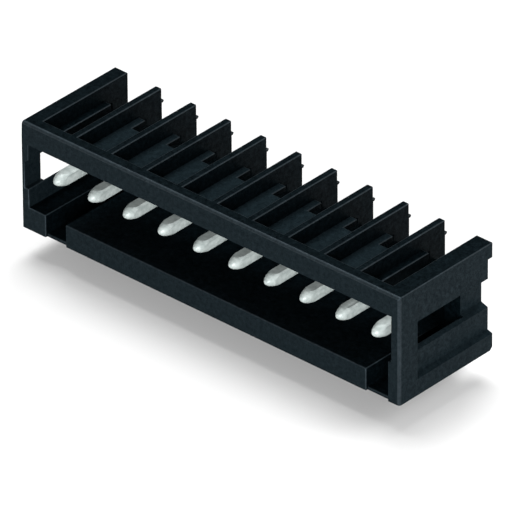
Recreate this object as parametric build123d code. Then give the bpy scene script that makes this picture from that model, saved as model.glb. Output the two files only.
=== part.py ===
from build123d import *
import math
import os

# Right-angle shrouded pin header for a printed circuit board, in millimetres.
# X runs along the row of pins, the plug goes in from -Y, and Z = 0 is the top of the board.
# The origin lies on the board, under the middle of the row of solder tails.

# Row of pins
POLES = 10
PITCH = 3.5
PIN_SIZE = 1.0
PIN_CORNER = 0.12
PIN_AXIS_Z = 4.6
END_LEFT = 2.65
END_RIGHT = 3.15

# Outer size of the housing
DEPTH = 10.3
HEIGHT = 9.25
EDGE_ROUND = 0.25
REAR_CHAMFER = 0.25

# Shroud that takes the plug
FLOOR_THICK = 1.9
CEILING_Z = 7.4
BEAM_DEPTH = 1.05
LEFT_WALL = 0.6
RIGHT_WALL = 0.79
RIGHT_FOOT = 1.09
RIGHT_FOOT_TOP = 3.4

# Wall that carries the pins
CARRIER_FRONT = 8.6
CARRIER_THICK = 0.5
CARRIER_TOP = 6.5
PIN_FIT = 0.02

# Fins and the roof plates between them
FIN_THICK = 0.58
ROOF_THICK = 0.47
ROOF_REAR = 7.8
ROOF_RIM = 0.62
ROOF_NOTCH_FRONT = 6.3
RAIL_LOW = 6.6
LEFT_CHEEK = 1.25
RIGHT_CHEEK = 1.55
NUB_Z = 8.08
NUB_TALL = 0.2
NUB_PROUD = 0.26

# Keying grooves in the floor, open to the front
GROOVE_WEB = 0.22
GROOVE_SETBACK = 0.2
LEFT_GROOVE_INSET = 2.28
LEFT_GROOVE_WIDTH = 2.07
RIGHT_GROOVE_WIDTH = 2.16

# Stepped channel along the right end, with the window in its deeper part
CHANNEL_Z = 4.7
CHANNEL_FRONT = 2.0
CHANNEL_HALF_TALL = 3.15
CHANNEL_DEPTH = 0.45
CHANNEL_FLARE = 0.15
WINDOW_HALF_TALL = 1.0
WINDOW_DEPTH = 1.08
WINDOW_FLARE = 0.22
WINDOW_REAR = 7.95
JAMB_GAP = 0.05

# Window of the left end and the groove that leads to it
LEFT_WINDOW_FRONT = 1.78
LEFT_WINDOW_LOW = 3.5
LEFT_WINDOW_HIGH = 6.05
SILL_BEVEL_DEPTH = 0.5
SILL_BEVEL_DROP = 0.55
LEAD_TOP = 6.05
LEAD_DROP = 0.33
LEAD_SKIN = 0.2

# Shape of each pin
TIP_SETBACK = 0.65
NOSE_LENGTH = 1.9
NOSE_RADIUS = 0.7
NOSE_STEPS = 6
BEND_RADIUS = 0.7
TAIL_LENGTH = 2.4
TAIL_TAPER_LENGTH = 0.45
TAIL_TIP_SIZE = 0.6

# Sizes that follow from the ones above
LENGTH = END_LEFT + (POLES - 1) * PITCH + END_RIGHT
ROW_LENGTH = (POLES - 1) * PITCH
CARRIER_REAR = CARRIER_FRONT + CARRIER_THICK
TAIL_Y = CARRIER_REAR + BEND_RADIUS
ROOF_TOP = CEILING_Z + ROOF_THICK
OVER = 2.0

# Move from the front left corner of the housing to the origin of the part
TO_ORIGIN = Location((-(END_LEFT + ROW_LENGTH / 2), -TAIL_Y, 0))


def block(x0, x1, y0, y1, z0, z1):
    """A box between two values on each axis."""
    size = Box(x1 - x0, y1 - y0, z1 - z0, align=(Align.MIN, Align.MIN, Align.MIN))
    return Pos(x0, y0, z0) * size


def side_prism(outline, x0, x1):
    """A solid with the given outline in Y and Z, from x0 to x1."""
    face = make_face(Plane.YZ * Polyline(*outline, close=True))
    return Pos(x0, 0, 0) * extrude(face, amount=x1 - x0, dir=(1, 0, 0))


def front_prism(outline, y0, y1):
    """A solid with the given outline in X and Z, from y0 to y1."""
    points = [(x, y0, z) for x, z in outline]
    face = make_face(Polyline(*points, close=True))
    return extrude(face, amount=y1 - y0, dir=(0, 1, 0))


def cut_square(side, corner):
    """A square face whose four corners are cut at 45 degrees."""
    far = side / 2
    near = far - corner
    points = [
        (near, -far), (far, -near), (far, near), (near, far),
        (-near, far), (-far, near), (-far, -near), (-near, -far),
    ]
    return make_face(Polyline(*points, close=True))


def pin_x(index):
    return END_LEFT + index * PITCH


def fin_x(index):
    """Middle of the fin between pins index and index + 1."""
    return pin_x(index) + PITCH / 2


# Housing

def outer_block():
    body = block(0, LENGTH, 0, DEPTH, 0, HEIGHT)
    front_edges = body.edges().filter_by_position(Axis.Y, 0, 0)
    top_front = front_edges.filter_by(Axis.X).sort_by(Axis.Z)[-1]
    right_front = front_edges.filter_by(Axis.Z).sort_by(Axis.X)[-1]
    body = fillet([top_front, right_front], EDGE_ROUND)
    rear_edges = body.edges().filter_by(Axis.X).filter_by_position(Axis.Y, DEPTH, DEPTH)
    return chamfer(rear_edges.sort_by(Axis.Z)[0], REAR_CHAMFER)


def plug_cavity():
    """Space for the plug, with a thicker foot on the right wall."""
    left = LEFT_WALL
    right = LENGTH - RIGHT_WALL
    foot = LENGTH - RIGHT_FOOT
    outline = [
        (left, FLOOR_THICK),
        (foot, FLOOR_THICK),
        (foot, RIGHT_FOOT_TOP),
        (right, RIGHT_FOOT_TOP),
        (right, CEILING_Z),
        (left, CEILING_Z),
    ]
    return front_prism(outline, -OVER, CARRIER_FRONT)


def floor_groove(x0, x1):
    """Keying groove with a thin web left under it, set back at the front."""
    trough = block(x0, x1, -OVER, WINDOW_REAR, GROOVE_WEB, FLOOR_THICK + OVER)
    mouth = block(x0, x1, -OVER, GROOVE_SETBACK, -OVER, FLOOR_THICK)
    return trough + mouth


def bay_walls():
    """Left and right side of the open bay above each pole."""
    walls = [LEFT_CHEEK]
    for index in range(POLES - 1):
        walls += [fin_x(index) - FIN_THICK / 2, fin_x(index) + FIN_THICK / 2]
    walls.append(LENGTH - RIGHT_CHEEK)
    return [(walls[2 * index], walls[2 * index + 1]) for index in range(POLES)]


def bays():
    """Open space between two fins, above the roof plate and behind the carrier wall."""
    outline = [
        (BEAM_DEPTH, ROOF_TOP),
        (ROOF_REAR, ROOF_TOP),
        (ROOF_REAR, CARRIER_TOP),
        (CARRIER_REAR, CARRIER_TOP),
        (CARRIER_REAR, -OVER),
        (DEPTH + OVER, -OVER),
        (DEPTH + OVER, HEIGHT + OVER),
        (BEAM_DEPTH, HEIGHT + OVER),
    ]
    return [side_prism(outline, left, right) for left, right in bay_walls()]


def end_rails():
    """Guide rails under both rims of the long slots in the two end bays."""
    first, last = bay_walls()[0], bay_walls()[-1]
    spans = [
        (LEFT_WALL / 2, first[0] + ROOF_RIM),
        (first[1] - ROOF_RIM, first[1] + FIN_THICK),
        (last[0] - FIN_THICK, last[0] + ROOF_RIM),
        (last[1] - ROOF_RIM, LENGTH - RIGHT_WALL / 2),
    ]
    return [block(left, right, BEAM_DEPTH, ROOF_REAR, RAIL_LOW, CEILING_Z) for left, right in spans]


def roof_notches():
    """Slot in each roof plate, short in the middle bays and up to the beam in the end ones."""
    notches = []
    for index, (left, right) in enumerate(bay_walls()):
        inner = 0 < index < POLES - 1
        front = ROOF_NOTCH_FRONT if inner else BEAM_DEPTH
        notches.append(block(left + ROOF_RIM, right - ROOF_RIM, front, ROOF_REAR + ROOF_THICK,
                             CEILING_Z - ROOF_THICK, ROOF_TOP + ROOF_THICK))
    return notches


def right_channel():
    """Channel with two steps and sloping ledges, open to the rear."""
    step = LENGTH - CHANNEL_DEPTH
    deep = LENGTH - WINDOW_DEPTH
    half = [
        (deep, WINDOW_HALF_TALL),
        (step, WINDOW_HALF_TALL + WINDOW_FLARE),
        (step, CHANNEL_HALF_TALL),
        (LENGTH, CHANNEL_HALF_TALL + CHANNEL_FLARE),
        (LENGTH + OVER, CHANNEL_HALF_TALL + CHANNEL_FLARE),
    ]
    upper = [(x, CHANNEL_Z + z) for x, z in half]
    lower = [(x, CHANNEL_Z - z) for x, z in reversed(half)]
    return front_prism(upper + lower, CHANNEL_FRONT, DEPTH + OVER)


def corner_jamb():
    """Block beside the last pin that closes the rear of the right window."""
    last_pin_side = pin_x(POLES - 1) + PIN_SIZE / 2
    return block(last_pin_side + JAMB_GAP, LENGTH - CHANNEL_DEPTH / 2, WINDOW_REAR, CARRIER_FRONT,
                 FLOOR_THICK, CEILING_Z)


def left_window():
    """Opening whose sill falls away on the outside."""
    outline = [
        (-OVER, LEFT_WINDOW_LOW - SILL_BEVEL_DROP),
        (0, LEFT_WINDOW_LOW - SILL_BEVEL_DROP),
        (SILL_BEVEL_DEPTH, LEFT_WINDOW_LOW),
        (LEFT_WALL + LEFT_CHEEK, LEFT_WINDOW_LOW),
        (LEFT_WALL + LEFT_CHEEK, LEFT_WINDOW_HIGH),
        (-OVER, LEFT_WINDOW_HIGH),
    ]
    return front_prism(outline, LEFT_WINDOW_FRONT, WINDOW_REAR)


def left_lead_in():
    """Groove from the front to the left window, with a sloping ceiling and a thin skin outside."""
    outline = [
        (LEAD_SKIN, LEFT_WINDOW_LOW),
        (LEFT_WALL + LEFT_CHEEK, LEFT_WINDOW_LOW),
        (LEFT_WALL + LEFT_CHEEK, LEAD_TOP),
        (LEFT_WALL, LEAD_TOP),
        (LEAD_SKIN, LEAD_TOP - LEAD_DROP),
    ]
    return front_prism(outline, -OVER, LEFT_WINDOW_FRONT + LEAD_SKIN)


def fin_nubs():
    """Small raised marks on the rear edges of the fins, where two halves of the mould met."""
    tall = NUB_TALL / 2
    nubs = []
    for index in range(POLES - 1):
        left = fin_x(index) - FIN_THICK / 2
        outline = [
            (DEPTH - 0.2, NUB_Z - tall),
            (DEPTH + NUB_PROUD / 2, NUB_Z - tall),
            (DEPTH + NUB_PROUD, NUB_Z + tall / 2),
            (DEPTH, NUB_Z + tall),
            (DEPTH - 0.2, NUB_Z + tall),
        ]
        nubs.append(side_prism(outline, left, left + FIN_THICK))
    return nubs


def pin_section(extra=0.0):
    """Square with small cut corners, made larger all round by the extra amount."""
    return cut_square(PIN_SIZE + 2 * extra, PIN_CORNER + (2 - 2 ** 0.5) * extra)


def pin_holes():
    holes = []
    for index in range(POLES):
        start = Plane(origin=(pin_x(index), CARRIER_FRONT - 1, PIN_AXIS_Z), x_dir=(1, 0, 0), z_dir=(0, 1, 0))
        holes.append(extrude(start * pin_section(PIN_FIT), amount=CARRIER_THICK + 2))
    return holes


def make_housing():
    body = outer_block()
    body -= plug_cavity()
    body += corner_jamb()
    body += end_rails()
    body -= bays()
    body -= roof_notches()
    body -= right_channel()
    body -= left_window()
    body -= left_lead_in()
    body -= floor_groove(LEFT_GROOVE_INSET, LEFT_GROOVE_INSET + LEFT_GROOVE_WIDTH)
    right_groove = LENGTH - RIGHT_FOOT
    body -= floor_groove(right_groove - RIGHT_GROOVE_WIDTH, right_groove)
    body += fin_nubs()
    body -= pin_holes()
    return body


# Contact pins

def nose_form(x):
    """Round bullet that the square pin is trimmed to, one piece with its long straight part."""
    rest = DEPTH + TAIL_LENGTH
    outline = [(0, rest), (0, 0)]
    for step in range(1, NOSE_STEPS + 1):
        turn = math.radians(90 * step / NOSE_STEPS)
        outline.append((NOSE_RADIUS * math.sin(turn), NOSE_LENGTH * (1 - math.cos(turn))))
    outline.append((NOSE_RADIUS, rest))
    bullet = revolve(make_face(Polyline(*outline, close=True)), axis=Axis.Y)
    return Pos(x, TIP_SETBACK, PIN_AXIS_Z) * bullet


def make_pin(index):
    """Square wire from its bullet tip, through the carrier wall and down to its solder tail."""
    x = pin_x(index)
    tip = (x, TIP_SETBACK, PIN_AXIS_Z)
    bend_start = (x, CARRIER_REAR, PIN_AXIS_Z)
    bend_end = (x, TAIL_Y, PIN_AXIS_Z - BEND_RADIUS)
    front_plane = Plane(origin=tip, x_dir=(1, 0, 0), z_dir=(0, 1, 0))
    front = extrude(front_plane * pin_section(), amount=CARRIER_REAR - TIP_SETBACK)
    front &= nose_form(x)
    bend_plane = Plane(origin=bend_start, x_dir=(1, 0, 0), z_dir=(0, 1, 0))
    turn_axis = Axis((x, CARRIER_REAR, PIN_AXIS_Z - BEND_RADIUS), (-1, 0, 0))
    bend = revolve(bend_plane * pin_section(), axis=turn_axis, revolution_arc=90)
    shoulder_z = TAIL_TAPER_LENGTH - TAIL_LENGTH
    shoulder = Plane(origin=(x, TAIL_Y, shoulder_z), x_dir=(1, 0, 0), z_dir=(0, 0, 1))
    tail = extrude(shoulder * pin_section(), amount=bend_end[2] - shoulder_z)
    return front + bend + tail + tail_tip(x, shoulder)


def tail_tip(x, shoulder):
    """Four-sided taper that guides the tail into its hole in the board."""
    end = Plane(origin=(x, TAIL_Y, -TAIL_LENGTH), x_dir=(1, 0, 0), z_dir=(0, 0, 1))
    small = end * cut_square(TAIL_TIP_SIZE, PIN_CORNER * TAIL_TIP_SIZE / PIN_SIZE)
    return loft([small, shoulder * pin_section()])


def write_part(name, shape):
    shape = TO_ORIGIN * shape
    solids = shape.solids()
    result = solids[0] if len(solids) == 1 else Compound(children=solids)
    export_step(result, f"parts/{name}.step")


os.makedirs("parts", exist_ok=True)
write_part("housing", make_housing())
for pole in range(POLES):
    write_part(f"contact_pin_{pole + 1:02d}", make_pin(pole))
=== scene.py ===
import math

import bmesh
import bpy
from mathutils import Matrix, Vector


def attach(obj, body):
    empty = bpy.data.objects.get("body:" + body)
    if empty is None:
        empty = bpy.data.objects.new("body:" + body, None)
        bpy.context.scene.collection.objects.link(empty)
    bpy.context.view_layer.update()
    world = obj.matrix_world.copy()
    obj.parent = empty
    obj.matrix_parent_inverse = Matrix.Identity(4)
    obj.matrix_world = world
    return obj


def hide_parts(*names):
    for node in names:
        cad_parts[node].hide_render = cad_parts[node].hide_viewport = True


# Right-angle shrouded pin header. One unit is one metre. The row of pins runs along X, the plug
# comes in from -Y, and Z = 0 is the face of the board. Named sizes are in millimetres and degrees.

MM = 0.001
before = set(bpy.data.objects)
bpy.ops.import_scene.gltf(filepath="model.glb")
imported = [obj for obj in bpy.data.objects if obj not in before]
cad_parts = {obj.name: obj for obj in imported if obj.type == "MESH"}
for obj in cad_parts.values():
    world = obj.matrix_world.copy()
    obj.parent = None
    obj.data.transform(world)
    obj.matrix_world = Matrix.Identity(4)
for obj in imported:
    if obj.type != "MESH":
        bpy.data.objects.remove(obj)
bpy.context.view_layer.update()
PINS = sorted(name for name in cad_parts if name.startswith("contact_pin"))

# Camera that shows the part as the photograph does
TARGET = Vector((0.25, -4.65, 4.625))
CAMERA_AZIMUTH = -47.876
CAMERA_ELEVATION = 32.051
CAMERA_ROLL = -0.392
CAMERA_DISTANCE = 855.8
FRAME_WIDTH = 37.934
SENSOR_WIDTH = 36.0
AIM_RIGHT = 0.155
AIM_DOWN = 1.703
CLIP_NEAR = 0.05
CLIP_FAR = 20

# Edges of the moulding and of the wire
HOUSING_EDGE = 0.07
PIN_EDGE = 0.035
EDGE_SEGMENTS = 2
SHARP_ANGLE = 28.0
MERGE_REACH = 0.0005
FLAT_ANGLE = 0.5

# Faces of the moulding, by their place and by how far their normals lean
SHADE_TOP = 7.5
SHADE_FRONT = -8.7
# Part of the housing where shade is painted: the fins and the cavity between the end walls
SHADE_PAINT_LEFT = -17.2
SHADE_PAINT_RIGHT = 17.4
PLATE_TOP = 8.0
END_FIN = 14.2
FACES_UP = 0.9
FACES_DOWN = -0.1
FACES_LEFT = -0.5
CORNER_LEAN = 0.12
CORNER_AREA = 5e-6

# Order of the housing's materials
SKIN = 0
# painted highlight: the greyer, more reflective plastic on the rounded outer edges
PAINTED_HIGHLIGHT = 1
# painted shade: the deeper black, less reflective plastic on the fins and in the cavity
PAINTED_SHADE = 2

# Pattern sizes of the finishes
MOTTLE = 0.35
GRAIN = 0.1
SKIN_RELIEF = 0.03
DRAWN_LINE = 0.06
DRAWN_STRETCH = 0.06
TIN_CLOUD = 0.4
LINE_RELIEF = 0.008

# Table, world and lamps, with the table and the lamps in metres
TAIL_END = -2.4
TABLE_SIZE = 6.0
WORLD_STRENGTH = 0.28
PAPER_GLOW = 0.09
LAMP_DISTANCE = 0.5
WHITE = (1, 1, 1, 1)


def linear(hex_colour):
    """An sRGB hex colour as the linear values that shaders take."""
    channels = []
    for start in (1, 3, 5):
        value = int(hex_colour[start:start + 2], 16) / 255
        channels.append(value / 12.92 if value <= 0.04045 else ((value + 0.055) / 1.055) ** 2.4)
    return (*channels, 1.0)


def add_node(tree, kind, settings=None, values=None, links=None):
    """Adds a node, sets its properties and sockets, and joins its inputs to other nodes' outputs."""
    node = tree.nodes.new(kind)
    for name, value in (settings or {}).items():
        setattr(node, name, value)
    for name, value in (values or {}).items():
        node.inputs[name].default_value = value
    for name, output in (links or {}).items():
        tree.links.new(output, node.inputs[name])
    return node


def start_material(name):
    """An empty node material, its tree and its Object coordinates."""
    material = bpy.data.materials.new(name)
    material.use_nodes = True
    tree = material.node_tree
    tree.nodes.clear()
    coordinates = add_node(tree, "ShaderNodeTexCoord").outputs["Object"]
    return material, tree, coordinates


def noise(tree, place, size_mm, detail, roughness=0.5):
    """A soft 0 to 1 pattern whose features are about this many millimetres wide."""
    values = {"Scale": 1 / (size_mm * MM), "Detail": detail, "Roughness": roughness}
    return add_node(tree, "ShaderNodeTexNoise", values=values, links={"Vector": place}).outputs["Fac"]


def ramp(tree, factor, stops):
    """A colour ramp with its stops as (position, hex colour)."""
    node = add_node(tree, "ShaderNodeValToRGB", links={"Fac": factor})
    elements = node.color_ramp.elements
    elements[0].position, elements[1].position = stops[0][0], stops[-1][0]
    elements[0].color, elements[1].color = linear(stops[0][1]), linear(stops[-1][1])
    for position, colour in stops[1:-1]:
        elements.new(position).color = linear(colour)
    return node.outputs["Color"]


def spread(tree, factor, low, high):
    """Turns a 0 to 1 pattern into values from low to high."""
    values = {"From Min": 0.3, "From Max": 0.7, "To Min": low, "To Max": high}
    return add_node(tree, "ShaderNodeMapRange", values=values, links={"Value": factor}).outputs["Result"]


def relief(tree, height, strength, depth_mm):
    """Shading normals of a surface with this pattern pressed into it."""
    values = {"Strength": strength, "Distance": depth_mm * MM}
    return add_node(tree, "ShaderNodeBump", values=values, links={"Height": height}).outputs["Normal"]


def greater(tree, first, second):
    """The greater of two values."""
    node = add_node(tree, "ShaderNodeMath", {"operation": "MAXIMUM"}, links={0: first, 1: second})
    return node.outputs["Value"]


def shown_white(tree):
    """1 for rays that see the backdrop itself: the camera's, and those off the metal or through gaps."""
    path = add_node(tree, "ShaderNodeLightPath").outputs
    return greater(tree, greater(tree, path["Is Camera Ray"], path["Is Transmission Ray"]),
                   path["Is Glossy Ray"])


def finish_material(material, tree, shader):
    add_node(tree, "ShaderNodeOutputMaterial", links={"Surface": shader})
    return material


# Finishes

def moulded_polyester(name, colours, reflection, roughness, sheen):
    """Glass-filled polyester moulding: bluish black and matt, with a mottled skin of fine grain."""
    material, tree, place = start_material(name)
    mottle = noise(tree, place, MOTTLE, 4.0, 0.65)
    grain = noise(tree, place, GRAIN, 2.0)
    both = add_node(tree, "ShaderNodeMix", values={"Factor": 0.4},
                    links={"A": mottle, "B": grain}).outputs["Result"]
    dark, middle, light = colours
    shader = add_node(tree, "ShaderNodeBsdfPrincipled", values={"Specular Tint": linear(sheen)},
                      links={"Base Color": ramp(tree, both, [(0.36, dark), (0.5, middle), (0.64, light)]),
                             "Roughness": spread(tree, both, *roughness),
                             "Specular IOR Level": spread(tree, both, *reflection),
                             "Normal": relief(tree, both, 0.5, SKIN_RELIEF)})
    return finish_material(material, tree, shader.outputs["BSDF"])


def skin_plastic():
    """The outer skin: nearly black, and faintly blue where it reflects the white table."""
    return moulded_polyester("moulded_glass_filled_polyester", ("#0a1014", "#101619", "#151c20"),
                             reflection=(0.034, 0.11), roughness=(0.7, 0.55), sheen="#74deff")


def painted_highlight_plastic():
    """The same plastic on its outer edges, painted greyer and more reflective: a painted highlight that
    draws them as light lines.
    """
    return moulded_polyester("edge_polyester_with_painted_highlight", ("#0b1012", "#12181b", "#1a2124"),
                             reflection=(0.22, 0.38), roughness=(0.6, 0.5), sheen="#d0ecff")


def painted_shade_plastic():
    """The same plastic on the fins and in the cavity, painted deeper black and less reflective: painted
    shade.
    """
    return moulded_polyester("polyester_with_painted_shade", ("#010203", "#030608", "#070c0f"),
                             reflection=(0.015, 0.07), roughness=(0.7, 0.55), sheen="#74deff")


def tinned_wire():
    """Drawn copper-alloy wire with matt tin plating: soft grey-white shine, faint lines along the wire."""
    material, tree, place = start_material("matt_tin_plated_wire")
    along = add_node(tree, "ShaderNodeMapping", values={"Scale": (1.0, DRAWN_STRETCH, 1.0)},
                     links={"Vector": place}).outputs["Vector"]
    lines = noise(tree, along, DRAWN_LINE, 3.0)
    cloud = noise(tree, place, TIN_CLOUD, 3.0)
    shader = add_node(tree, "ShaderNodeBsdfPrincipled", values={"Metallic": 0.1, "Specular IOR Level": 0.25},
                      links={"Base Color": ramp(tree, cloud, [(0.3, "#a4aeac"), (0.7, "#c2cbc9")]),
                             "Roughness": spread(tree, cloud, 0.36, 0.46),
                             "Normal": relief(tree, lines, 0.25, LINE_RELIEF)})
    return finish_material(material, tree, shader.outputs["BSDF"])


def white_table():
    """Matt paper sweep: a grey card to the part, and to the camera white paper with a soft shadow."""
    material, tree, place = start_material("white_paper_sweep")
    card = add_node(tree, "ShaderNodeBsdfDiffuse", values={"Color": linear("#959595")}).outputs["BSDF"]
    paper = add_node(tree, "ShaderNodeBsdfDiffuse", values={"Color": linear("#d8d8d8")}).outputs["BSDF"]
    glow = add_node(tree, "ShaderNodeEmission", values={"Color": WHITE, "Strength": PAPER_GLOW})
    lit = add_node(tree, "ShaderNodeAddShader", links={0: paper, 1: glow.outputs["Emission"]})
    seen = add_node(tree, "ShaderNodeMixShader",
                    links={0: shown_white(tree), 1: card, 2: lit.outputs["Shader"]})
    return finish_material(material, tree, seen.outputs["Shader"])


# Edges and faces of the moulding

def stays_sharp(edge):
    """Edges on undersides, under the roof, in the channel and at the left window, sharp in the mould, so
    they get no rounding and no painted highlight.
    """
    under = min((face.normal.z for face in edge.link_faces), default=0) < FACES_DOWN
    left = min((face.normal.x for face in edge.link_faces), default=0) < FACES_LEFT
    low = min(corner.co.z for corner in edge.verts) < SHADE_TOP * MM
    behind = min(corner.co.y for corner in edge.verts) > SHADE_FRONT * MM
    return under or (low and (behind or left))


def is_front_rounding(face):
    """The narrow faces that round the shroud's front edges towards the plug, which get the painted
    highlight.
    """
    leans = max(abs(face.normal.x), face.normal.z) > CORNER_LEAN and face.normal.y < -CORNER_LEAN
    return leans and face.calc_area() < CORNER_AREA


def is_painted_shade_face(face):
    """Faces of the fins, the end rims and the cavity between the end walls, but not the roof plates: where
    shade is painted.
    """
    centre = face.calc_center_median() / MM
    plate = face.normal.z > FACES_UP and SHADE_TOP < centre.z < PLATE_TOP and abs(centre.x) < END_FIN
    return SHADE_PAINT_LEFT < centre.x < SHADE_PAINT_RIGHT and centre.y > SHADE_FRONT and not plate


def housing_material(face):
    # The front roundings get the painted highlight of the outer edges.
    if is_front_rounding(face):
        return PAINTED_HIGHLIGHT
    # The fins and the cavity get painted shade.
    return PAINTED_SHADE if is_painted_shade_face(face) else SKIN


# Pieces

def mark_edges(form, left_sharp):
    """Shades the form smooth between its sharp edges, and weights those that are to be rounded."""
    weight = form.edges.layers.float.new("bevel_weight_edge")
    for face in form.faces:
        face.smooth = True
    for edge in form.edges:
        sharp = len(edge.link_faces) == 2 and edge.calc_face_angle() > math.radians(SHARP_ANGLE)
        edge[weight] = 1.0 if sharp and edge.is_convex and not left_sharp(edge) else 0.0
        edge.smooth = not sharp


def merged_copy(node, name, left_sharp=lambda edge: False, material_of=lambda face: 0):
    """The node's mesh with its loose triangles joined and its flat areas made one face each."""
    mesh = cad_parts[node].data.copy()
    mesh.name = name
    mesh.materials.clear()
    form = bmesh.new()
    form.from_mesh(mesh)
    bmesh.ops.remove_doubles(form, verts=form.verts[:], dist=MERGE_REACH * MM)
    bmesh.ops.dissolve_limit(form, angle_limit=math.radians(FLAT_ANGLE), verts=form.verts[:],
                             edges=form.edges[:])
    mark_edges(form, left_sharp)
    for face in form.faces:
        face.material_index = material_of(face)
    form.to_mesh(mesh)
    form.free()
    piece = bpy.data.objects.new(name, mesh)
    bpy.context.scene.collection.objects.link(piece)
    return piece


def round_edges(piece, width, material):
    """Rounds the weighted edges and gives the rounding this material, which on the housing is the painted
    highlight.
    """
    bevel = piece.modifiers.new("edge_radius", "BEVEL")
    bevel.width = width * MM
    bevel.segments = EDGE_SEGMENTS
    bevel.limit_method = "WEIGHT"
    bevel.use_clamp_overlap = True
    bevel.harden_normals = False
    bevel.material = material


def flatten(piece):
    """Turns the shading normals to the large flat faces, so that the rounded edges stay narrow."""
    flat = piece.modifiers.new("flat_faces", "WEIGHTED_NORMAL")
    flat.mode = "FACE_AREA"
    flat.weight = 100
    flat.keep_sharp = True


def dress(piece, node, materials):
    """Gives the piece its materials and its place in the part."""
    for material in materials:
        piece.data.materials.append(material)
    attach(piece, "root")
    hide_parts(node)


def make_housing():
    housing = merged_copy("housing", "shroud_housing", stays_sharp, housing_material)
    round_edges(housing, HOUSING_EDGE, PAINTED_HIGHLIGHT)
    flatten(housing)
    dress(housing, "housing", [skin_plastic(), painted_highlight_plastic(), painted_shade_plastic()])


def make_pins():
    tin = tinned_wire()
    for node in PINS:
        pin = merged_copy(node, node.replace("contact_pin", "tinned_pin"))
        round_edges(pin, PIN_EDGE, 0)
        dress(pin, node, [tin])


# Table, light and camera

def make_table():
    form = bmesh.new()
    bmesh.ops.create_grid(form, x_segments=1, y_segments=1, size=TABLE_SIZE / 2,
                          matrix=Matrix.Translation((0, 0, TAIL_END * MM)))
    mesh = bpy.data.meshes.new("table")
    form.to_mesh(mesh)
    form.free()
    mesh.materials.append(white_table())
    table = bpy.data.objects.new("table", mesh)
    bpy.context.scene.collection.objects.link(table)


def make_world():
    """Plain soft light from all round."""
    world = bpy.data.worlds.new("studio")
    bpy.context.scene.world = world
    world.use_nodes = True
    tree = world.node_tree
    tree.nodes.clear()
    soft = add_node(tree, "ShaderNodeBackground", values={"Color": WHITE, "Strength": WORLD_STRENGTH})
    add_node(tree, "ShaderNodeOutputWorld", links={"Surface": soft.outputs["Background"]})


def direction(azimuth, elevation):
    """Unit vector from the part towards this azimuth and elevation."""
    turn = math.radians(azimuth)
    rise = math.radians(elevation)
    return Vector((math.cos(rise) * math.cos(turn), math.cos(rise) * math.sin(turn), math.sin(rise)))


def softbox(name, azimuth, elevation, size, power):
    """A square lamp that faces the part."""
    data = bpy.data.lights.new(name, "AREA")
    data.shape = "SQUARE"
    data.size = size
    data.energy = power
    away = direction(azimuth, elevation)
    lamp = bpy.data.objects.new(name, data)
    lamp.location = TARGET * MM + away * LAMP_DISTANCE
    lamp.rotation_euler = away.to_track_quat("Z", "Y").to_euler()
    bpy.context.scene.collection.objects.link(lamp)


def make_lamps():
    softbox("front_low_softbox", azimuth=-50, elevation=12, size=0.3, power=4.0)
    softbox("rear_right_softbox", azimuth=44, elevation=35, size=0.25, power=0.9)
    softbox("overhead_softbox", azimuth=140, elevation=74, size=0.32, power=2.8)


def camera_pose():
    """The camera's place, turned to the photograph's angle and aimed so that the part sits as there."""
    turn = math.radians(CAMERA_AZIMUTH)
    roll = math.radians(CAMERA_ROLL)
    back = direction(CAMERA_AZIMUTH, CAMERA_ELEVATION)
    level = Vector((-math.sin(turn), math.cos(turn), 0))
    right = level * math.cos(roll) + back.cross(level) * math.sin(roll)
    up = back.cross(right)
    place = TARGET + back * CAMERA_DISTANCE
    aim = TARGET + right * AIM_RIGHT - up * AIM_DOWN
    back = (place - aim).normalized()
    right = (right - back * right.dot(back)).normalized()
    up = back.cross(right)
    turned = Matrix((right, up, back)).transposed().to_4x4()
    return Matrix.Translation(place * MM) @ turned


def make_camera():
    """A long lens."""
    data = bpy.data.cameras.new("long_lens")
    data.sensor_width = SENSOR_WIDTH
    data.lens = SENSOR_WIDTH * CAMERA_DISTANCE / FRAME_WIDTH
    data.clip_start = CLIP_NEAR
    data.clip_end = CLIP_FAR
    camera = bpy.data.objects.new("camera", data)
    camera.matrix_world = camera_pose()
    bpy.context.scene.collection.objects.link(camera)
    bpy.context.scene.camera = camera


make_housing()
make_pins()
make_table()
make_world()
make_lamps()
make_camera()
bpy.context.scene.view_settings.view_transform = "Standard"
